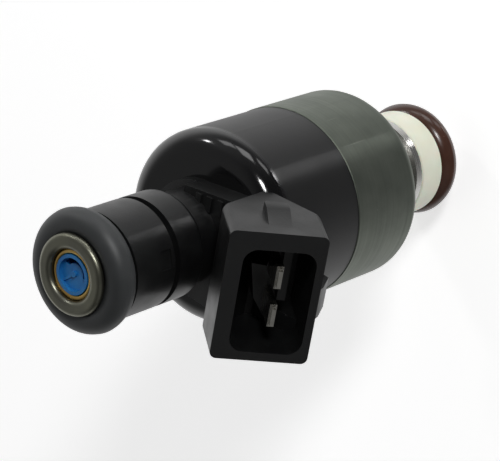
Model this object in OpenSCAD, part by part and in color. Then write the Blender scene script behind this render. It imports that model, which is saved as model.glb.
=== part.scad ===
// Top-feed fuel injector, standing as fitted: inlet up, spray tip down.
// Millimetres. The origin is on the injector's axis, in the flat end of the spray tip.
// +Z runs along the axis towards the inlet. The connector socket leans out towards -Y.

/* [Overall] */
// distance between the middles of the two outer O-rings
seal_spacing = 61.4; // [50:0.1:73]
// outside diameter of both outer O-rings
seal_d = 14.6; // [12:0.1:17.6]
// thickness of the rubber in both outer O-rings
seal_section = 3.5; // [2.8:0.05:4]
// outside diameter of the plated steel solenoid housing
housing_d = 23.9; // [19.8:0.1:28.8]
// how far the housing stands proud of the black cover, on the radius
cover_step = 0.1; // [0.05:0.05:0.8]
// running clearance between the core and its bore, on the radius
core_clearance = 0.03; // [0.01:0.005:0.08]
// how far the core and ball lift off the seat
valve_lift = 0.1; // [0.05:0.01:0.2]

/* [Inlet end] */
// diameter of the flange that keeps the inlet O-ring on
flange_d = 9.6; // [8.6:0.1:11.6]
// thickness of that flange
flange_t = 0.7; // [0.7:0.05:1.4]
// rounding of the flange, outside and into the bore
flange_round = 0.6; // [0.3:0.05:0.7]
// wall of the inlet tube around the filter
tube_wall = 0.8; // [0.6:0.05:1]
// wall of the brass ring that carries the filter
ring_wall = 0.65; // [0.45:0.05:0.8]
// length of the brass ring
ring_length = 3.4; // [2.5:0.1:5]
// wall of the moulded filter body
filter_wall = 0.4; // [0.3:0.05:0.5]
// length of the filter from the inlet face to its closed end
filter_length = 17; // [14:0.5:18]

/* [Connector moulding] */
// diameter of the round neck
neck_d = 13; // [11.5:0.1:14]
// length of the neck between the inlet O-ring and the clip groove
neck_length = 6.2; // [4.6:0.1:6.6]
// width of the clip groove
clip_groove_w = 0.9; // [0.6:0.05:1.4]
// depth of the clip groove
clip_groove_depth = 0.9; // [0.5:0.05:1.2]
// length of the collar below the clip groove
collar_length = 4.5; // [3.5:0.1:5.5]
// height from the black cover's end face up to the collar
neck_rise = 6.1; // [5:0.1:8]
// lean of the socket towards the inlet, from square to the axis
socket_tilt = 41.3; // [35:0.1:46]
// outside width of the socket, across the injector
socket_w = 16.05; // [15.6:0.05:17]
// outside thickness of the socket
socket_t = 11.3; // [10.8:0.05:12.4]
// opening of the socket, across the injector
opening_w = 12.8; // [12.4:0.05:13]
// opening of the socket, the short way
opening_t = 8.4; // [8:0.05:8.6]
// depth of the socket
socket_depth = 9.4; // [8:0.1:9.6]
// width of one flat terminal blade
blade_w = 2.8; // [2.4:0.1:3]
// thickness of one flat terminal blade
blade_t = 0.8; // [0.6:0.05:1]
// distance between the middles of the two blades
blade_pitch = 4.8; // [4.4:0.1:5.4]

/* [Cover and housing] */
// rounding of the black cover's shoulder
shoulder_r = 2.7; // [1.5:0.1:4]
// length of the black cover down to the housing
cover_length = 15.4; // [13:0.1:17]
// wall of the housing
housing_wall = 1.3; // [1:0.05:1.8]
// thickness of the housing's floor
housing_floor = 2; // [1.6:0.1:2.6]
// rounding of the housing's lower edge
housing_round = 1.6; // [0.8:0.1:1.9]

/* [Outlet end] */
// length of the bare steel neck below the housing
neck_steel_length = 7.75; // [5:0.05:9]
// diameter of the pale plastic spacer ring
spacer_d = 13.5; // [11.6:0.1:14]
// length of the pale plastic spacer ring
spacer_length = 4.45; // [3.5:0.05:6]
// height of the spray tip below the outlet O-ring
tip_h = 2.8; // [2.4:0.1:4]
// diameter of the spray tip's lip, which keeps the O-ring on
tip_d = 10; // [9:0.1:12]
// diameter of the nose below the lip
nose_d = 7.2; // [6:0.1:7.4]
// diameter of the spray opening
spray_d = 4.2; // [3:0.1:4.6]
// diameter of the valve ball
ball_d = 3.2; // [2.6:0.1:3.2]

/* [Hidden] */
e = 0.01;
seal_r = seal_section / 2;
tube_r = seal_d / 2 - seal_section;
z_out_seal = tip_h + seal_r;
z_in_seal = z_out_seal + seal_spacing;
z_spacer = z_out_seal + seal_r + 0.05;
z_spacer_top = z_spacer + spacer_length;
z_floor = z_spacer_top + neck_steel_length;
z_inlet = z_in_seal + seal_r + flange_t;
z_neck_top = z_in_seal - seal_r - 0.1;
z_groove = z_neck_top - neck_length;
z_collar = z_groove - clip_groove_w;
z_collar_end = z_collar - collar_length;
z_face = z_collar_end - neck_rise;
z_cover_base = z_face - cover_length;
z_washer_top = z_face - 3.7;
z_washer = z_washer_top - 1.8;
housing_r = housing_d / 2;
cover_r = housing_r - cover_step;
cover_wall = 0.95;
rim_round = 0.12;
throat_r = cover_r - cover_wall;
can_r = throat_r - 1.2;
pole_r = tube_r + 1.2;
well_r = tube_r - tube_wall;
filter_r = well_r - ring_wall;
spring_bore_r = min(1.75, tube_r - 1.6);
z_core_top = z_floor + 7.35;
z_pole = z_core_top + valve_lift + 0.05;
z_liner = z_core_top - 0.75;
z_liner_top = z_pole + 2.1;
z_pole_top = z_washer - 2;
core_r = tube_r + 0.07;
z_guide_top = z_spacer + 1.6;
z_seat = 2.4;
z_seat_top = z_spacer;
ball_r = ball_d / 2;
z_ball = z_seat_top - 0.2;
steel_r = tube_r + 1.4;
neck_r = neck_d / 2;
socket_out = cover_r + 4.18;
socket_up = z_face + 6.2;
opening_x = -0.55;
opening_y = -0.5;
blade_y = -1.05;
leg_y = -(can_r - 1.45);
block_y = -(neck_r + 1);
block_z = z_face - 1.6;

// a plain ring between two heights
module ring(r_out, r_in, z0, z1) {
  translate([0, 0, z0])
    difference() {
      cylinder(h = z1 - z0, r = r_out, $fn = 96);
      translate([0, 0, -1]) cylinder(h = z1 - z0 + 2, r = r_in, $fn = 96);
    }
}

// a rubber ring of round section
module rubber_ring(r_mid, r_wire, z) {
  translate([0, 0, z])
    rotate_extrude($fn = 96)
      translate([r_mid, 0]) circle(r = r_wire, $fn = 40);
}

// a box placed by its middle in X
module slab(w, y0, y1, z0, z1) {
  translate([-w / 2, y0, z0]) cube([w, y1 - y0, z1 - z0]);
}

// a rectangle with round corners, centred
module round_rect(w, h, r) {
  square([w - 2 * r, h], center = true);
  square([w, h - 2 * r], center = true);
  for (sx = [-1, 1], sy = [-1, 1])
    translate([sx * (w / 2 - r), sy * (h / 2 - r)]) circle(r = r, $fn = 40);
}

// the socket's own frame: origin in the middle of its mouth, Z pointing out of it
module at_socket() {
  translate([0, -socket_out, socket_up]) rotate([90 - socket_tilt, 0, 0]) children();
}

module inlet_tube() {
  color([0.55, 0.55, 0.47])
    difference() {
      union() {
        translate([0, 0, z_inlet])
          rotate_extrude($fn = 96) {
            translate([0, -flange_t]) square([flange_d / 2 - flange_round, flange_t]);
            translate([0, -flange_t]) square([flange_d / 2, flange_t - flange_round]);
            intersection() {
              translate([flange_d / 2 - flange_round, -flange_round]) circle(r = flange_round, $fn = 48);
              translate([0, -flange_t]) square([flange_d, flange_t]);
            }
          }
        translate([0, 0, z_pole]) cylinder(h = z_inlet - z_pole - flange_t / 2, r = tube_r, $fn = 96);
        translate([0, 0, z_liner_top]) cylinder(h = z_pole_top - z_liner_top, r = pole_r, $fn = 96);
      }
      translate([0, 0, z_inlet - filter_length - 1]) cylinder(h = filter_length + 2, r = well_r, $fn = 96);
      translate([0, 0, z_pole - 1]) cylinder(h = z_inlet - z_pole, r = spring_bore_r, $fn = 64);
      // the flare into the bore
      translate([0, 0, z_inlet])
        rotate_extrude($fn = 96)
          difference() {
            translate([0, -flange_round]) square([well_r + flange_round, flange_round + 1]);
            translate([well_r + flange_round, -flange_round]) circle(r = flange_round, $fn = 48);
          }
    }
}

module filter_ring() {
  color([0.78, 0.62, 0.3])
    translate([0, 0, z_inlet - 0.6])
      rotate_extrude($fn = 96) {
        translate([filter_r, -ring_length]) square([ring_wall, ring_length - ring_wall / 2]);
        translate([filter_r + ring_wall / 2, -ring_wall / 2]) circle(r = ring_wall / 2, $fn = 32);
      }
}

module filter_body() {
  z_bottom = z_inlet - filter_length;
  z_rim = z_inlet - 0.55;
  z_ledge = z_bottom + 0.8;
  z_sill = z_inlet - 4.1;
  z_web = z_rim - 0.55;
  color([0.22, 0.5, 0.78]) {
    difference() {
      translate([0, 0, z_bottom]) cylinder(h = z_rim - z_bottom, r = filter_r);
      translate([0, 0, z_ledge]) cylinder(h = z_rim - z_ledge + 1, r = filter_r - filter_wall);
      // the four windows that the screen covers, with a pillar 0.8 wide between each two
      for (a = [0:90:270])
        rotate([0, 0, a])
          translate([0.4, 0.4, z_ledge + 0.3]) cube([filter_r, filter_r, z_sill - z_ledge - 0.3]);
    }
    // the web across the mouth, with the passage for the fuel along one side
    difference() {
      translate([0, 0, z_web - 0.5]) cylinder(h = 0.5, r = filter_r - filter_wall / 2);
      translate([0, 0, z_web - 2])
        linear_extrude(3)
          difference() {
            intersection() {
              circle(r = filter_r - filter_wall - 0.1, $fn = 64);
              polygon([[0, 0], [2, 3.6], [5, 0], [3, -4], [-0.4, -4]]);
            }
            circle(r = 1.2, $fn = 48);
          }
    }
    // one thin rib on the web, from the wall to the moulding gate's stub in the middle
    rotate([0, 0, 133])
      translate([0, -0.13, z_web - 0.3]) cube([filter_r - filter_wall / 2, 0.26, 0.5]);
    translate([0, 0, z_web - 0.4]) cylinder(h = 0.7, r = 0.35);
  }
}

module filter_screen() {
  z_bottom = z_inlet - filter_length;
  z_top = z_inlet - 4.3;
  color([0.75, 0.8, 0.85])
    ring(filter_r - filter_wall, filter_r - filter_wall - 0.15, z_bottom + 0.8, z_top);
}

module inlet_o_ring() {
  color([0.06, 0.06, 0.07]) rubber_ring(tube_r + seal_r, seal_r, z_in_seal);
}

// everything of the connector moulding that is solid, before the holes in it
module moulding_solid() {
  // neck, clip groove and collar
  translate([0, 0, z_groove]) cylinder(h = z_neck_top - z_groove, r = neck_r, $fn = 96);
  translate([0, 0, z_washer_top]) cylinder(h = z_neck_top - z_washer_top - 1, r = neck_r - clip_groove_depth, $fn = 96);
  translate([0, 0, z_collar_end])
    rotate_extrude($fn = 96) {
      square([neck_r - 1, collar_length]);
      translate([0, 1]) square([neck_r, collar_length - 1]);
      translate([neck_r - 1, 1]) circle(r = 1, $fn = 40);
    }
  translate([0, 0, z_washer_top]) cylinder(h = z_face - z_washer_top + 1.2, r = neck_r, $fn = 96);
  difference() {
    union() {
      // the socket's box, cut off square above and behind, and deeper in the middle
      intersection() {
        at_socket() translate([0, 0, -20]) linear_extrude(20) round_rect(socket_w, socket_t, 0.8);
        union() {
          slab(40, -40, block_y, block_z, z_inlet);
          slab(12, -40, block_y, z_washer_top - 1.1, z_inlet);
        }
      }
      // the pod on its underside, around the lower blade's root
      translate([opening_x - blade_pitch / 2 - blade_w / 2 - 0.5, 0, 0])
        rotate([90, 0, 90])
          linear_extrude(blade_w + 1)
            polygon([
              [-socket_out - 1.3, z_face + 0.1],
              [-socket_out - 0.5, z_face - 3.3],
              [-socket_out + 0.8, z_face - 5.9],
              [-cover_r + 1.5, z_face - 6.6],
              [block_y, z_face + 1]
            ]);
      // the bridge between the socket's box and the neck
      translate([0, 0, z_face - 1])
        linear_extrude(4.1)
          polygon([[-6.4, 0.8], [-7.3, block_y - 0.5], [7.3, block_y - 0.5], [6.4, 0.8]]);
      // the foot around the terminals, down to the flux washer
      translate([opening_x, 0, 0])
        slab(blade_pitch + blade_w + 1.4, leg_y - 1.3, block_y + 2.5, z_washer_top, z_face + 1);
    }
    // clear of the cover's wall below its end plate
    translate([0, 0, z_washer_top - 20]) cylinder(h = 20, r = cover_r, $fn = 128);
  }
  // latch ramps on the two narrow sides
  for (s = [-1, 1])
    at_socket()
      translate([s * socket_w / 2, 1.05, 0])
        rotate([90, 0, 0])
          linear_extrude(2.7)
            polygon([[-s * 0.5, -6.4], [s * 0.9, -6.4], [s * 0.9, -4.7], [0, -2.1], [-s * 0.5, -2.1]]);
  // three plain raised bars on the bridge
  for (y = [-2, -3.6, -5.2])
    translate([4.2 - 0.1 * y, y, z_face + 3]) cube([1.9, 0.8, 0.35]);
}

// the round-cornered hollow of the socket
module socket_hollow() {
  at_socket() translate([opening_x, opening_y, -1.2]) linear_extrude(6) round_rect(opening_w, opening_t, 1.9);
  intersection() {
    at_socket()
      translate([opening_x, opening_y, -socket_depth]) linear_extrude(socket_depth) round_rect(opening_w, opening_t, 1.7);
    union() {
      slab(40, -40, block_y - 1.2, block_z + 1.3, z_inlet);
      slab(9.6, -40, block_y - 1.2, z_face - 12, z_inlet);
    }
  }
}

// what stands on the socket's floor around the blades
module socket_island() {
  at_socket() {
    translate([0, 0, -socket_depth - 0.5])
      linear_extrude(socket_depth - 5.7)
        polygon([[1.2, 1.3], [1, -0.5], [3.8, -1.2], [3.8, -2.2], [-4.6, -2.2], [-5.4, -1.1], [-3.2, 0.4]]);
    translate([-2.6, -3, -socket_depth - 0.5]) cube([opening_w / 2 + opening_x + 3, 1, socket_depth - 4.4]);
  }
}

module connector_body() {
  color([0.1, 0.1, 0.1])
    difference() {
      union() {
        difference() {
          moulding_solid();
          socket_hollow();
        }
        socket_island();
      }
      translate([0, 0, z_washer_top - 1]) cylinder(h = z_inlet, r = tube_r, $fn = 96);
      terminal(-1);
      terminal(1);
      // shallow gate mark on the neck
      rotate([0, 0, -70]) translate([neck_r - 0.25, -1.1, z_groove + 0.5]) cube([2, 2.2, 1.7]);
    }
}

// one terminal: the blade in the socket and the leg down to the coil
module terminal(side) {
  x = opening_x + side * blade_pitch / 2;
  reach = (leg_y + socket_out) / cos(socket_tilt) - blade_y * tan(socket_tilt);
  z_bend = socket_up - blade_y * 0 + (leg_y + socket_out) * -tan(socket_tilt) + blade_y / cos(socket_tilt);
  at_socket() {
    translate([x, blade_y, -reach])
      linear_extrude(reach - 1.6) square([blade_w, blade_t], center = true);
    translate([x, blade_y, -2])
      linear_extrude(1) square([blade_w - 0.7, blade_t - 0.35], center = true);
    translate([x, blade_y, -2])
      linear_extrude(0.7) square([blade_w - 0.3, blade_t - 0.15], center = true);
  }
  translate([x - blade_w / 2, leg_y - blade_t / 2, z_washer - 1])
    cube([blade_w, blade_t, z_bend - z_washer + 1]);
}

module terminal_left() {
  color([0.8, 0.8, 0.78]) terminal(-1);
}

module terminal_right() {
  color([0.8, 0.8, 0.78]) terminal(1);
}

module solenoid_cover() {
  color([0.03, 0.03, 0.03])
    difference() {
      translate([0, 0, z_cover_base])
        rotate_extrude($fn = 128) {
          square([cover_r, cover_length - shoulder_r]);
          square([cover_r - shoulder_r, cover_length]);
          translate([cover_r - shoulder_r, cover_length - shoulder_r]) circle(r = shoulder_r, $fn = 64);
        }
      translate([0, 0, z_cover_base - 1]) cylinder(h = z_washer_top - z_cover_base + 1, r = throat_r, $fn = 128);
      translate([0, 0, z_washer]) cylinder(h = 10, r = tube_r + 1, $fn = 96);
      moulding_solid();
    }
}

module solenoid_housing() {
  color([0.4, 0.42, 0.4])
    difference() {
      union() {
        translate([0, 0, z_floor])
          rotate_extrude($fn = 128) {
            translate([0, housing_round]) square([housing_r, z_cover_base - z_floor - housing_round - rim_round]);
            square([housing_r - housing_round, z_cover_base - z_floor]);
            translate([0, housing_round]) square([housing_r - rim_round, z_cover_base - z_floor - housing_round]);
            translate([housing_r - housing_round, housing_round]) circle(r = housing_round, $fn = 64);
            translate([housing_r - rim_round, z_cover_base - z_floor - rim_round]) circle(r = rim_round, $fn = 24);
          }
        translate([0, 0, z_floor + 3]) cylinder(h = z_washer - z_floor - 3, r = throat_r, $fn = 128);
      }
      translate([0, 0, z_floor + housing_floor]) cylinder(h = 60, r = can_r, $fn = 128);
      translate([0, 0, z_floor - 1]) cylinder(h = 10, r = pole_r, $fn = 96);
      // the recess that the steel neck's flare sits in
      translate([0, 0, z_floor - 1]) cylinder(h = 1.3, r = steel_r + 2, $fn = 96);
    }
}

module flux_washer() {
  color([0.5, 0.5, 0.5])
    difference() {
      ring(throat_r, tube_r, z_washer, z_washer_top);
      translate([opening_x, 0, 0])
        slab(blade_pitch + blade_w + 0.8, leg_y - 0.9, leg_y + 0.9, z_washer - 1, z_washer_top + 1);
    }
}

module coil_bobbin() {
  z0 = z_floor + housing_floor + 1.5;
  color([0.75, 0.7, 0.55])
    difference() {
      union() {
        ring(pole_r + 0.9, pole_r + 0.1, z0, z_washer);
        ring(can_r - 0.2, pole_r + 0.1, z0, z0 + 1.2);
        ring(can_r - 0.2, pole_r + 0.1, z_washer - 1.5, z_washer);
      }
      terminal(-1);
      terminal(1);
    }
}

module coil_winding() {
  z0 = z_floor + housing_floor + 1.5;
  color([0.72, 0.4, 0.2])
    ring(can_r - 0.8, pole_r + 0.95, z0 + 1.25, z_washer - 1.55);
}

module upper_coil_seal() {
  color([0.08, 0.08, 0.08]) rubber_ring(tube_r + 0.63, 0.6, z_pole_top + 0.6);
}

module lower_coil_seal() {
  color([0.08, 0.08, 0.08]) rubber_ring(pole_r + 0.7, 0.69, z_floor + housing_floor + 0.7);
}

module core_liner() {
  color([0.7, 0.6, 0.4])
    difference() {
      ring(pole_r, tube_r, z_liner, z_liner_top);
      translate([0, 0, z_liner - 1]) cylinder(h = z_pole - z_liner + 0.95, r = core_r + core_clearance, $fn = 96);
    }
}

module nozzle_body() {
  z_ledge = z_guide_top + 3.4;
  color([0.78, 0.78, 0.76])
    difference() {
      union() {
        translate([0, 0, 1.6]) cylinder(h = z_liner - 1.6, r = tube_r, $fn = 96);
        translate([0, 0, z_spacer]) cylinder(h = z_liner - z_spacer, r = pole_r, $fn = 96);
        translate([0, 0, z_spacer_top]) cylinder(h = 1.1, r = spacer_d / 2 - 0.1, $fn = 96);
        translate([0, 0, z_spacer_top]) cylinder(h = neck_steel_length, r = steel_r + 0.6, $fn = 96);
        translate([0, 0, z_floor - 3.2]) cylinder(h = 3.2, r1 = steel_r + 0.6, r2 = steel_r + 2, $fn = 96);
        translate([0, 0, z_floor - 0.1]) cylinder(h = 0.4, r = steel_r + 2, $fn = 96);
      }
      translate([0, 0, 1]) cylinder(h = z_ledge, r = well_r, $fn = 96);
      translate([0, 0, z_ledge]) cylinder(h = 60, r = core_r + core_clearance, $fn = 96);
    }
}

module outlet_spacer() {
  color([0.93, 0.91, 0.82])
    translate([0, 0, z_spacer])
      rotate_extrude($fn = 128)
        difference() {
          union() {
            square([spacer_d / 2 - 0.3, spacer_length]);
            translate([0, 0.3]) square([spacer_d / 2, spacer_length - 0.6]);
            translate([spacer_d / 2 - 0.3, 0.3]) circle(r = 0.3, $fn = 24);
            translate([spacer_d / 2 - 0.3, spacer_length - 0.3]) circle(r = 0.3, $fn = 24);
          }
          translate([-1, -1]) square([pole_r + 1, spacer_length + 2]);
        }
}

module outlet_o_ring() {
  color([0.36, 0.24, 0.18]) rubber_ring(tube_r + seal_r, seal_r, z_out_seal);
}

module valve_seat() {
  seat_r = ball_r * 0.78;
  color([0.72, 0.72, 0.72])
    difference() {
      translate([0, 0, z_seat]) cylinder(h = z_seat_top - z_seat, r = well_r, $fn = 96);
      translate([0, 0, z_seat - 1]) cylinder(h = 10, r = 0.8, $fn = 48);
      translate([0, 0, z_ball]) sphere(r = ball_r + 0.005, $fn = 64);
      translate([0, 0, z_ball]) cylinder(h = 5, r = ball_r + 0.35, $fn = 64);
    }
}

module ball_guide() {
  color([0.72, 0.72, 0.7])
    difference() {
      ring(well_r, ball_r + core_clearance, z_seat_top, z_guide_top);
      for (a = [0:60:300])
        rotate([0, 0, a])
          translate([ball_r + 0.15, 0, z_seat_top - 1]) cylinder(h = 4, r = 0.45, $fn = 32);
    }
}

module director_plate() {
  color([0.8, 0.8, 0.8])
    difference() {
      translate([0, 0, z_seat - 0.4]) cylinder(h = 0.4, r = well_r, $fn = 96);
      for (a = [0:60:300])
        rotate([0, 0, a])
          translate([0.45, 0, z_seat - 1]) cylinder(h = 2, r = 0.12, $fn = 24);
    }
}

module spray_tip() {
  color([0.75, 0.74, 0.72])
    difference() {
      union() {
        cylinder(h = 1.5, r = nose_d / 2, $fn = 96);
        translate([0, 0, 1.3]) cylinder(h = tip_h - 1.35, r = tip_d / 2, $fn = 96);
      }
      translate([0, 0, 1.6]) cylinder(h = 5, r = tube_r, $fn = 96);
      translate([0, 0, -1]) cylinder(h = 4, r = spray_d / 2, $fn = 64);
    }
  color([0.75, 0.74, 0.72])
    ring(well_r, spray_d / 2, 1, z_seat - 0.4);
}

module spring_sleeve() {
  color([0.6, 0.6, 0.58])
    difference() {
      translate([0, 0, z_pole + 5.5]) cylinder(h = 10, r = spring_bore_r, $fn = 64);
      translate([0, 0, z_pole]) cylinder(h = 30, r = spring_bore_r - 0.75, $fn = 64);
    }
}

module core() {
  z_stem = z_ball + ball_r * 0.8;
  z_skirt = z_guide_top + 3.8;
  color([0.6, 0.6, 0.6])
    difference() {
      union() {
        translate([0, 0, z_skirt]) cylinder(h = z_core_top - z_skirt, r = core_r, $fn = 96);
        translate([0, 0, z_stem]) cylinder(h = z_skirt - z_stem + 1, r = ball_r - 0.4, $fn = 64);
      }
      translate([0, 0, z_core_top - 6]) cylinder(h = 10, r = spring_bore_r + 0.1, $fn = 64);
      translate([0, 0, z_skirt + 1]) cylinder(h = 30, r = 0.8, $fn = 48);
      translate([0, 0, z_skirt + 1.8]) rotate([90, 0, 0]) cylinder(h = 20, r = 0.7, center = true, $fn = 32);
      translate([0, 0, z_ball]) sphere(r = ball_r, $fn = 64);
    }
}

module valve_ball() {
  color([0.85, 0.85, 0.86]) translate([0, 0, z_ball]) sphere(r = ball_r, $fn = 64);
}

// the return spring, wound from flat-sided wire
module core_spring() {
  z0 = z_core_top - 6;
  h = z_pole + 5.5 - z0;
  r_out = spring_bore_r - 0.15;
  color([0.7, 0.7, 0.72])
    translate([0, 0, z0])
      linear_extrude(height = h, twist = -360 * 7, slices = 70)
        difference() {
          intersection() {
            circle(r = r_out, $fn = 16);
            polygon([[0, 0], [3, -1.5], [3, 3], [0.6, 3]]);
          }
          circle(r = r_out - 0.4, $fn = 16);
        }
}

inlet_tube();
filter_ring();
filter_body();
filter_screen();
inlet_o_ring();
connector_body();
solenoid_cover();
terminal_left();
terminal_right();
solenoid_housing();
flux_washer();
coil_bobbin();
coil_winding();
upper_coil_seal();
lower_coil_seal();
core_liner();
nozzle_body();
outlet_spacer();
outlet_o_ring();
valve_seat();
ball_guide();
director_plate();
spray_tip();
spring_sleeve();
core();
valve_ball();
core_spring();
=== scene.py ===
"""Looks for a top-feed fuel injector, standing on its spray tip with the inlet up.

Metres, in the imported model's frame: the axis is Z, the spray tip's flat end is at Z 0, and the
connector socket leans out towards -Y. Sizes are written in millimetres and turned to metres once.
"""

import math

import bmesh
import bpy
from mathutils import Matrix, Vector


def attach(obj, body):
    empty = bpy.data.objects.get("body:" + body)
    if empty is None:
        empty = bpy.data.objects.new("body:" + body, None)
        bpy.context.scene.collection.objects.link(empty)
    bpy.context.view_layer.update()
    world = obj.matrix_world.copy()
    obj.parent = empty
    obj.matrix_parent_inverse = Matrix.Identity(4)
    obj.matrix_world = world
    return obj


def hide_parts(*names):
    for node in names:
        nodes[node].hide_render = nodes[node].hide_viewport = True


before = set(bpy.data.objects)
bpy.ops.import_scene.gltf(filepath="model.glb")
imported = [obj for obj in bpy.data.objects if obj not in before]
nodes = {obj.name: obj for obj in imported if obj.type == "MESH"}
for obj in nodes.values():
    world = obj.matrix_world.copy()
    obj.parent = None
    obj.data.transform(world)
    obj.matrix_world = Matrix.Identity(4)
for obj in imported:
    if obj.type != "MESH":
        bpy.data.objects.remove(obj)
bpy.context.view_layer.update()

MM = 0.001
BODY = "injector_body"


# ---------------------------------------------------------------- materials

def paint(hex_colour):
    """An sRGB hex colour as the linear RGBA that a shader takes."""
    out = []
    for i in (1, 3, 5):
        c = int(hex_colour[i:i + 2], 16) / 255
        out.append(c / 12.92 if c <= 0.04045 else ((c + 0.055) / 1.055) ** 2.4)
    return (*out, 1.0)


def add(tree, kind, settings=None, links=None):
    """Adds one shader node. settings go to its own values or its sockets, links feed its sockets."""
    made = tree.nodes.new("ShaderNode" + kind)
    for key, value in (settings or {}).items():
        if isinstance(key, str) and hasattr(made, key):
            setattr(made, key, value)
        else:
            made.inputs[key].default_value = value
    for key, source in (links or {}).items():
        tree.links.new(source, made.inputs[key])
    return made


def finish_of(name, **shader):
    """A material with one Principled shader set as given, and its tree, shader and place vector."""
    material = bpy.data.materials.new(name)
    material.use_nodes = True
    tree = material.node_tree
    tree.nodes.clear()
    skin = add(tree, "BsdfPrincipled")
    for socket, value in shader.items():
        skin.inputs[socket.replace("_", " ")].default_value = value
    out = add(tree, "OutputMaterial")
    tree.links.new(skin.outputs["BSDF"], out.inputs["Surface"])
    place = add(tree, "TexCoord").outputs["Object"]
    return material, tree, skin, place


def ramp(tree, source, stops):
    """A colour ramp fed by source, with (position, linear colour) stops."""
    made = add(tree, "ValToRGB", links={"Fac": source})
    band = made.color_ramp
    while len(band.elements) < len(stops):
        band.elements.new(0.5)
    for element, (at, colour) in zip(band.elements, stops):
        element.position = at
        element.color = colour
    return made.outputs["Color"]


def grey(v):
    return (v, v, v, 1.0)


def noise_at(tree, place, size_mm, detail=3.0, stretch=(1, 1, 1), **more):
    """Noise whose blotches are about size_mm across, stretched along each axis."""
    moved = add(tree, "Mapping", {"Scale": tuple(1 / (size_mm * MM * s) for s in stretch)},
                {"Vector": place})
    return add(tree, "TexNoise", {"Scale": 1.0, "Detail": detail, **more},
               {"Vector": moved.outputs["Vector"]}).outputs["Fac"]


def rings_at(tree, place, pitch_mm, roughness):
    """Turning marks: fine rings round the axis, pitch_mm apart along it."""
    moved = add(tree, "Mapping", {"Scale": (40, 40, 1 / (pitch_mm * MM))}, {"Vector": place})
    return add(tree, "TexNoise", {"Scale": 1.0, "Detail": 4.0, "Roughness": roughness},
               {"Vector": moved.outputs["Vector"]}).outputs["Fac"]


def bumped(tree, skin, height, depth_mm):
    """Raises the shader's surface by height, depth_mm deep."""
    bump = add(tree, "Bump", {"Distance": depth_mm * MM}, {"Height": height})
    tree.links.new(bump.outputs["Normal"], skin.inputs["Normal"])


def worn(tree, skin, source, low, high, socket="Roughness"):
    """Lets source swing one socket of the shader between low and high."""
    swing = add(tree, "MapRange", {"To Min": low, "To Max": high, "From Min": 0.3, "From Max": 0.7},
                {"Value": source})
    tree.links.new(swing.outputs["Result"], skin.inputs[socket])


def turned_metal(name, colours, rough, pitch_mm, depth_mm, cloud_mm=2.5):
    """Lathe-turned metal: fine rings round the axis, and a plating that clouds a little."""
    material, tree, skin, place = finish_of(name, Metallic=1.0, Roughness=sum(rough) / 2)
    cloud = noise_at(tree, place, cloud_mm, 5.0)
    tint = ramp(tree, cloud, [(0.3, paint(colours[0])), (0.7, paint(colours[1]))])
    tree.links.new(tint, skin.inputs["Base Color"])
    rings = rings_at(tree, place, pitch_mm, 0.6)
    worn(tree, skin, rings, *rough)
    bumped(tree, skin, rings, depth_mm)
    return material


# zinc-plated, chromate-dipped steel: an olive-grey satin, clouded by the dip
plated_steel = turned_metal("plated_steel", ("#74746a", "#838374"), (0.30, 0.42), 0.12, 0.004)
# free-turning brass: yellow, smooth from the tool
brass = turned_metal("turned_brass", ("#c9a259", "#dcbb74"), (0.16, 0.26), 0.10, 0.003)
# stainless steel, fine turned: bright silver
stainless = turned_metal("stainless_steel", ("#c9c8c4", "#dad9d6"), (0.20, 0.30), 0.10, 0.003)
# rolled silicon iron washer, bare
soft_iron = turned_metal("soft_iron", ("#7c7c7a", "#939391"), (0.38, 0.50), 0.20, 0.006)
# thin drawn brass-coloured liner
liner_steel = turned_metal("drawn_liner", ("#b9a57c", "#c8b78f"), (0.25, 0.35), 0.15, 0.004)
# hardened and lapped ball steel: close to a mirror
ball_steel = turned_metal("lapped_ball_steel", ("#dcdcde", "#e6e6e8"), (0.06, 0.10), 0.30, 0.0005)
# hard-drawn spring wire
spring_steel = turned_metal("spring_wire", ("#b4b4b6", "#c4c4c6"), (0.25, 0.35), 0.20, 0.003)
# tinned brass blade: pale silver, a little dull
tinned_brass = turned_metal("tinned_brass", ("#aeaca5", "#c2c0ba"), (0.18, 0.32), 0.08, 0.002, 0.8)


def housing_finish():
    """Zinc-nickel plated steel, turned: dark green-grey satin, with fine rings, specks and scratches."""
    material, tree, skin, place = finish_of("zinc_nickel_steel", Metallic=1.0, Roughness=0.4)
    cloud = noise_at(tree, place, 3.5, 6.0)
    base = ramp(tree, cloud, [(0.3, paint("#757b72")), (0.7, paint("#82887e"))])
    rings = rings_at(tree, place, 0.22, 0.55)
    # handling specks, 0.15 mm, bare metal
    specks = noise_at(tree, place, 0.45, 2.0)
    bare = ramp(tree, specks, [(0.75, grey(0.0)), (0.80, grey(0.7))])
    # a few long hairline scratches round the barrel and along it
    scratch = noise_at(tree, place, 0.5, 1.0, (1, 1, 16))
    line = ramp(tree, scratch, [(0.76, grey(0.0)), (0.79, grey(0.35))])
    marks = add(tree, "MixRGB", {"blend_type": "LIGHTEN", "Fac": 1.0}, {"Color1": bare, "Color2": line})
    colour = add(tree, "MixRGB", {"Color2": paint("#a9ada3")},
                 {"Fac": marks.outputs["Color"], "Color1": base})
    tree.links.new(colour.outputs["Color"], skin.inputs["Base Color"])
    worn(tree, skin, rings, 0.42, 0.56)
    bumped(tree, skin, rings, 0.006)
    return material


def moulded_plastic(name, colours, rough, grain_mm, grain_depth_mm, cloud_mm=3.0, **shader):
    """Injection-moulded plastic: an even colour that clouds a little, and the tool's fine grain."""
    material, tree, skin, place = finish_of(name, IOR=1.53, Roughness=sum(rough) / 2, **shader)
    cloud = noise_at(tree, place, cloud_mm, 4.0)
    tint = ramp(tree, cloud, [(0.3, paint(colours[0])), (0.7, paint(colours[1]))])
    tree.links.new(tint, skin.inputs["Base Color"])
    worn(tree, skin, cloud, *rough)
    bumped(tree, skin, noise_at(tree, place, grain_mm, 2.0), grain_depth_mm)
    return material


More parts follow.
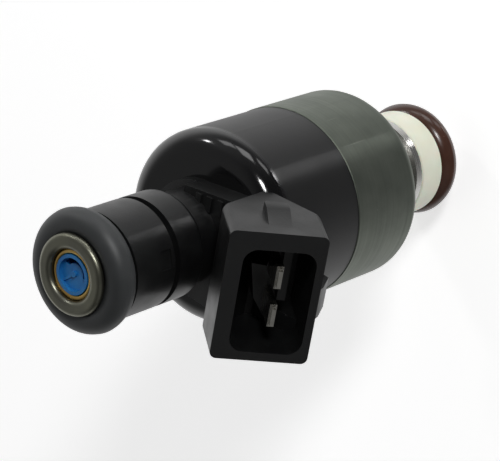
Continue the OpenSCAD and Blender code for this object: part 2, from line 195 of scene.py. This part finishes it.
# glass-filled nylon, matt from a spark-eroded tool: the fibres show as a fine grain
black_nylon = moulded_plastic("glass_filled_nylon", ("#0f0f10", "#141515"), (0.33, 0.44), 0.25, 0.010)

COVER_SIDE_TOP = 43.4     # mm up the axis, where the cover's satin side gives way to its shoulder


def cover_finish():
    """Black nylon cover: its shoulder is glossy from a polished tool, its side satin with a fine grain."""
    material, tree, skin, place = finish_of("gloss_nylon", IOR=1.53)
    skin.inputs["Base Color"].default_value = paint("#0d0d0e")
    height = add(tree, "SeparateXYZ", links={"Vector": place}).outputs["Z"]
    blend = {"From Min": (COVER_SIDE_TOP + 0.5) * MM, "From Max": (COVER_SIDE_TOP - 0.5) * MM}
    side = add(tree, "MapRange", blend, {"Value": height}).outputs["Result"]
    cloud = noise_at(tree, place, 4.0, 3.0)
    shade = add(tree, "MapRange", {"To Min": -0.03, "To Max": 0.03}, {"Value": cloud}).outputs["Result"]
    base = add(tree, "MapRange", {"To Min": 0.12, "To Max": 0.40}, {"Value": side}).outputs["Result"]
    rough = add(tree, "Math", {"operation": "ADD"}, {0: base, 1: shade}).outputs["Value"]
    tree.links.new(rough, skin.inputs["Roughness"])
    bumped(tree, skin, noise_at(tree, place, 1.6, 3.0), 0.004)
    return material


gloss_nylon = cover_finish()
# dyed nylon filter, a little see-through
blue_nylon = moulded_plastic("blue_nylon", ("#1a6aac", "#2a7dbd"), (0.28, 0.40), 0.30, 0.004,
                             Subsurface_Weight=0.15, Subsurface_Scale=0.0006)
# natural nylon spacer: off-white, waxy
cream_nylon = moulded_plastic("natural_nylon", ("#dfe0cd", "#e6e7d6"), (0.34, 0.44), 0.40, 0.006,
                              Subsurface_Weight=0.2, Subsurface_Scale=0.0010)
# coil former
bobbin_nylon = moulded_plastic("former_nylon", ("#bfae84", "#cbbb92"), (0.40, 0.50), 0.40, 0.006)
# nitrile rubber, cured in a polished ring mould
nitrile = moulded_plastic("nitrile_rubber", ("#313334", "#383a3b"), (0.46, 0.56), 0.35, 0.005)
# the same, inside
seal_rubber = moulded_plastic("seal_rubber", ("#161618", "#1c1c1e"), (0.42, 0.52), 0.35, 0.005)
# fluorocarbon rubber: dark brown, smooth and glossy
fluoro_rubber = moulded_plastic("fluorocarbon_rubber", ("#3c241b", "#4b2f24"), (0.20, 0.28), 0.5, 0.004)


def copper_finish():
    """Enamelled copper wire, wound in layers: 0.35 mm turns side by side."""
    material, tree, skin, place = finish_of("enamelled_copper", Metallic=1.0, Roughness=0.28)
    skin.inputs["Base Color"].default_value = paint("#b5652f")
    turns = add(tree, "TexWave", {"bands_direction": "Z", "Scale": 1 / (0.35 * MM) / 20}, {"Vector": place})
    bumped(tree, skin, turns.outputs["Fac"], 0.1)
    return material


def screen_finish():
    """Woven nylon cloth, 0.1 mm threads, drawn at 0.3 mm so that the weave shows."""
    material, tree, skin, place = finish_of("woven_nylon", IOR=1.53, Roughness=0.4)
    skin.inputs["Base Color"].default_value = paint("#c9d6dd")
    weave = add(tree, "TexChecker", {"Scale": 1 / (0.3 * MM)}, {"Vector": place})
    bumped(tree, skin, weave.outputs["Fac"], 0.03)
    return material


housing_steel = housing_finish()
copper_wire = copper_finish()
woven_nylon = screen_finish()


# ---------------------------------------------------------------- making pieces

def rounded(outline, steps=6):
    """The closed outline's corners, each (radius, height, rounding) in mm, as points with round corners."""
    points = []
    for i, (r, z, rounding) in enumerate(outline):
        here = Vector((r, z))
        back = Vector(outline[i - 1][:2]) - here
        on = Vector(outline[(i + 1) % len(outline)][:2]) - here
        if not rounding:
            points.append(here)
            continue
        half = back.angle(on) / 2
        reach = min(rounding / math.tan(half), 0.49 * back.length, 0.49 * on.length)
        radius = reach * math.tan(half)
        middle = here + (back.normalized() + on.normalized()).normalized() * radius / math.sin(half)
        first = here + back.normalized() * reach - middle
        last = here + on.normalized() * reach - middle
        start = math.atan2(first.y, first.x)
        turn = (math.atan2(last.y, last.x) - start + math.pi) % (2 * math.pi) - math.pi
        for k in range(steps + 1):
            a = start + turn * k / steps
            points.append(middle + Vector((math.cos(a), math.sin(a))) * radius)
    return points


def as_piece(name, bm, finish, slot, *stands_for):
    """Turns a bmesh, in mm, into a piece that rides on the injector's body in place of CAD nodes."""
    bmesh.ops.scale(bm, vec=(MM, MM, MM), verts=bm.verts)
    mesh = bpy.data.meshes.new(name)
    bm.to_mesh(mesh)
    bm.free()
    mesh.polygons.foreach_set("use_smooth", [True] * len(mesh.polygons))
    mesh.materials.append(finish)
    piece = bpy.data.objects.new(name, mesh)
    bpy.context.scene.collection.objects.link(piece)
    piece.modifiers.new("weighted", "WEIGHTED_NORMAL").weight = 60
    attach(piece, BODY)
    if stands_for:
        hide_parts(*stands_for)
    return piece


def spun(points, sides=192):
    """A closed section of (radius, height) points spun round the axis, as a bmesh in mm."""
    bm = bmesh.new()
    rows = []
    for k in range(sides):
        a = 2 * math.pi * k / sides
        rows.append([bm.verts.new((p[0] * math.cos(a), p[0] * math.sin(a), p[1])) for p in points])
    for k in range(sides):
        here, on = rows[k], rows[(k + 1) % sides]
        for i in range(len(points)):
            j = (i + 1) % len(points)
            bm.faces.new((here[i], on[i], on[j], here[j]))
    bmesh.ops.recalc_face_normals(bm, faces=bm.faces)
    return bm


def moulded(name, node, rounding_mm, finish, slot, angle=28, segments=3):
    """A copy of a CAD node's shape with its sharp edges rounded, as a mould leaves them."""
    bm = bmesh.new()
    bm.from_mesh(nodes[node].data)
    bmesh.ops.scale(bm, vec=(1 / MM,) * 3, verts=bm.verts)
    bmesh.ops.remove_doubles(bm, verts=bm.verts, dist=0.002)
    bmesh.ops.dissolve_degenerate(bm, edges=bm.edges, dist=0.002)
    bmesh.ops.dissolve_limit(bm, angle_limit=math.radians(0.5), verts=bm.verts, edges=bm.edges)
    piece = as_piece(name, bm, finish, slot, node)
    bevel = piece.modifiers.new("rounding", "BEVEL")
    bevel.limit_method = "ANGLE"
    bevel.angle_limit = math.radians(angle)
    bevel.width = rounding_mm * MM
    bevel.segments = segments
    bevel.use_clamp_overlap = True
    piece.modifiers.move(1, 0)


# heights along the axis and radii, in mm
INLET_SEAL = 65.95     # middle of the inlet O-ring
OUTLET_SEAL = 4.55     # middle of the outlet O-ring
SPACER = 6.35          # lower face of the pale spacer
SPACER_TOP = 10.8      # its upper face
SPACER_R = 6.75
SPACER_BORE_R = 5.0
TUBE_R = 3.8           # the tube that the O-rings sit on
SEAL_R = 1.75          # half the O-rings' thickness

FINISHES = {
    "inlet_tube": plated_steel, "filter_ring": brass, "filter_body": blue_nylon,
    "filter_screen": woven_nylon, "inlet_o_ring": nitrile, "connector_body": black_nylon,
    "solenoid_cover": gloss_nylon, "terminal_left": tinned_brass, "terminal_right": tinned_brass,
    "solenoid_housing": housing_steel, "flux_washer": soft_iron, "coil_bobbin": bobbin_nylon,
    "coil_winding": copper_wire, "upper_coil_seal": seal_rubber, "lower_coil_seal": seal_rubber,
    "core_liner": liner_steel, "nozzle_body": stainless, "outlet_spacer": cream_nylon,
    "outlet_o_ring": fluoro_rubber, "valve_seat": stainless, "ball_guide": stainless,
    "director_plate": stainless, "spray_tip": stainless, "spring_sleeve": stainless,
    "core": stainless, "valve_ball": ball_steel, "core_spring": spring_steel,
}
for name, finish in FINISHES.items():
    nodes[name].data.materials.clear()
    nodes[name].data.materials.append(finish)


PARTING_LINE = 0.035   # how far the mould's parting line stands out, in mm


def o_ring(name, height, finish, slot, node):
    """A moulded O-ring of round section, with the mould's fine parting line round its outside."""
    points = []
    steps = 64
    for k in range(steps):
        a = 2 * math.pi * k / steps
        r = SEAL_R - PARTING_LINE + PARTING_LINE * math.exp(-(math.sin(a / 2) / 0.035) ** 2)
        points.append((TUBE_R + SEAL_R + r * math.cos(a), height + r * math.sin(a)))
    as_piece(name, spun(points, 256), finish, slot, node)


o_ring("inlet_seal_ring", INLET_SEAL, nitrile, "black_rubber", "inlet_o_ring")
o_ring("outlet_seal_ring", OUTLET_SEAL, fluoro_rubber, "fluoro_rubber", "outlet_o_ring")

spacer_outline = [(SPACER_BORE_R, SPACER, 0.15), (SPACER_R, SPACER, 0.35),
                  (SPACER_R, SPACER_TOP, 0.35), (SPACER_BORE_R, SPACER_TOP, 0.15)]
as_piece("spacer_ring", spun(rounded(spacer_outline)), cream_nylon, "cream_nylon", "outlet_spacer")

moulded("connector_moulding", "connector_body", 0.35, black_nylon, "black_nylon")

# ---------------------------------------------------------------- floor, light and camera

FLOOR_R = 3.0          # metres
FLOOR_SIDES = 64
FLOOR_Z = -0.00002     # just under the spray tip, in metres
floor_mesh = bpy.data.meshes.new("floor")
floor_mesh.from_pydata([(FLOOR_R * math.cos(a), FLOOR_R * math.sin(a), FLOOR_Z)
                        for a in (2 * math.pi * k / FLOOR_SIDES for k in range(FLOOR_SIDES))],
                       [], [list(range(FLOOR_SIDES))])
floor = bpy.data.objects.new("floor", floor_mesh)
bpy.context.scene.collection.objects.link(floor)
# matt white board that glows a little, so that it stays pale in the shade
pale, _, pale_skin, _ = finish_of("pale_board", Roughness=0.9, IOR=1.3, Emission_Strength=0.62)
pale_skin.inputs["Base Color"].default_value = paint("#f2f2f2")
pale_skin.inputs["Emission Color"].default_value = (1.0, 1.0, 1.0, 1.0)
floor.visible_glossy = False     # the object mirrors the studio's walls instead
floor_mesh.materials.append(pale)

# what the lights aim at, and the camera's own right, up and backward directions
MIDDLE = Vector((0, -3, 40)) * MM
RIGHT = Vector((0.15935, -0.75266, -0.63884))
UP = Vector((0.89585, 0.38214, -0.22677))
BACK = Vector((0.41481, -0.53617, 0.73516))
DIM_ROOM = 0.045       # the room's light where there is no wall


def studio():
    """A dim room seen by direction only: bright board behind and below the object, a paler wall to the
    left and overhead, and a faint one low in front. The rest is nearly dark, so black plastic stays black."""
    world = bpy.data.worlds.new("studio")
    world.use_nodes = True
    tree = world.node_tree
    way = add(tree, "TexCoord").outputs["Generated"]

    def wall(towards, start, full, strength):
        near = add(tree, "VectorMath", {"operation": "DOT_PRODUCT", 1: tuple(towards.normalized())},
                   {0: way})
        return add(tree, "MapRange", {"interpolation_type": "SMOOTHSTEP", "From Min": start,
                                      "From Max": full, "To Min": 0.0, "To Max": strength},
                   {"Value": near.outputs["Value"]}).outputs["Result"]

    total = wall(-BACK, 0.08, 0.55, 0.72)
    for source in (wall(-RIGHT + UP * 0.25, 0.1, 0.95, 0.20), wall(UP - RIGHT * 0.1, 0.45, 0.95, 0.20),
                   wall(BACK * 0.58 - UP * 0.78 + RIGHT * 0.25, 0.75, 1.0, 0.16)):
        total = add(tree, "Math", {"operation": "ADD"}, {0: total, 1: source}).outputs["Value"]
    total = add(tree, "Math", {"operation": "ADD", 1: DIM_ROOM}, {0: total}).outputs["Value"]
    tree.nodes["Background"].inputs["Color"].default_value = grey(1.0)
    tree.links.new(total, tree.nodes["Background"].inputs["Strength"])
    bpy.context.scene.world = world


studio()


def softbox(name, right, up, back, size, power):
    """A soft light placed by the camera's own right, up and back, in mm from the middle, facing it."""
    data = bpy.data.lights.new(name, "AREA")
    data.shape = "RECTANGLE"
    data.size, data.size_y = size[0] * MM, size[1] * MM
    data.energy = power
    light = bpy.data.objects.new(name, data)
    bpy.context.scene.collection.objects.link(light)
    place = (RIGHT * right + UP * up + BACK * back) * MM
    facing = place.normalized()
    side = (RIGHT - facing * RIGHT.dot(facing)).normalized()
    light.matrix_world = (Matrix.Translation(MIDDLE + place)
                          @ Matrix((side, facing.cross(side), facing)).transposed().to_4x4())


# the lamp beside the camera
softbox("camera_lamp", 60, 210, 470, (90, 90), 1.15)
# the window over the object, with a dimmer strip to either side of it
softbox("window", 55, 470, 160, (170, 170), 0.27)
softbox("window_left", -130, 470, 110, (150, 110), 0.12)
softbox("window_right", 290, 420, 60, (130, 110), 0.10)
# two small spots, to the left and the right
softbox("left_spot", -350, 365, 87, (45, 45), 0.22)
softbox("right_spot", 400, 330, -85, (50, 50), 0.16)

camera_data = bpy.data.cameras.new("camera")
camera_data.sensor_width = 36.0
camera_data.lens = 159.15        # mm, on a 36 mm sensor
camera_data.clip_start, camera_data.clip_end = 0.01, 20.0
camera = bpy.data.objects.new("camera", camera_data)
bpy.context.scene.collection.objects.link(camera)
CAMERA = Vector((108.583, -143.560, 233.293)) * MM
camera.matrix_world = Matrix.Translation(CAMERA) @ Matrix((RIGHT, UP, BACK)).transposed().to_4x4()
bpy.context.scene.camera = camera
bpy.context.scene.view_settings.view_transform = "Standard"
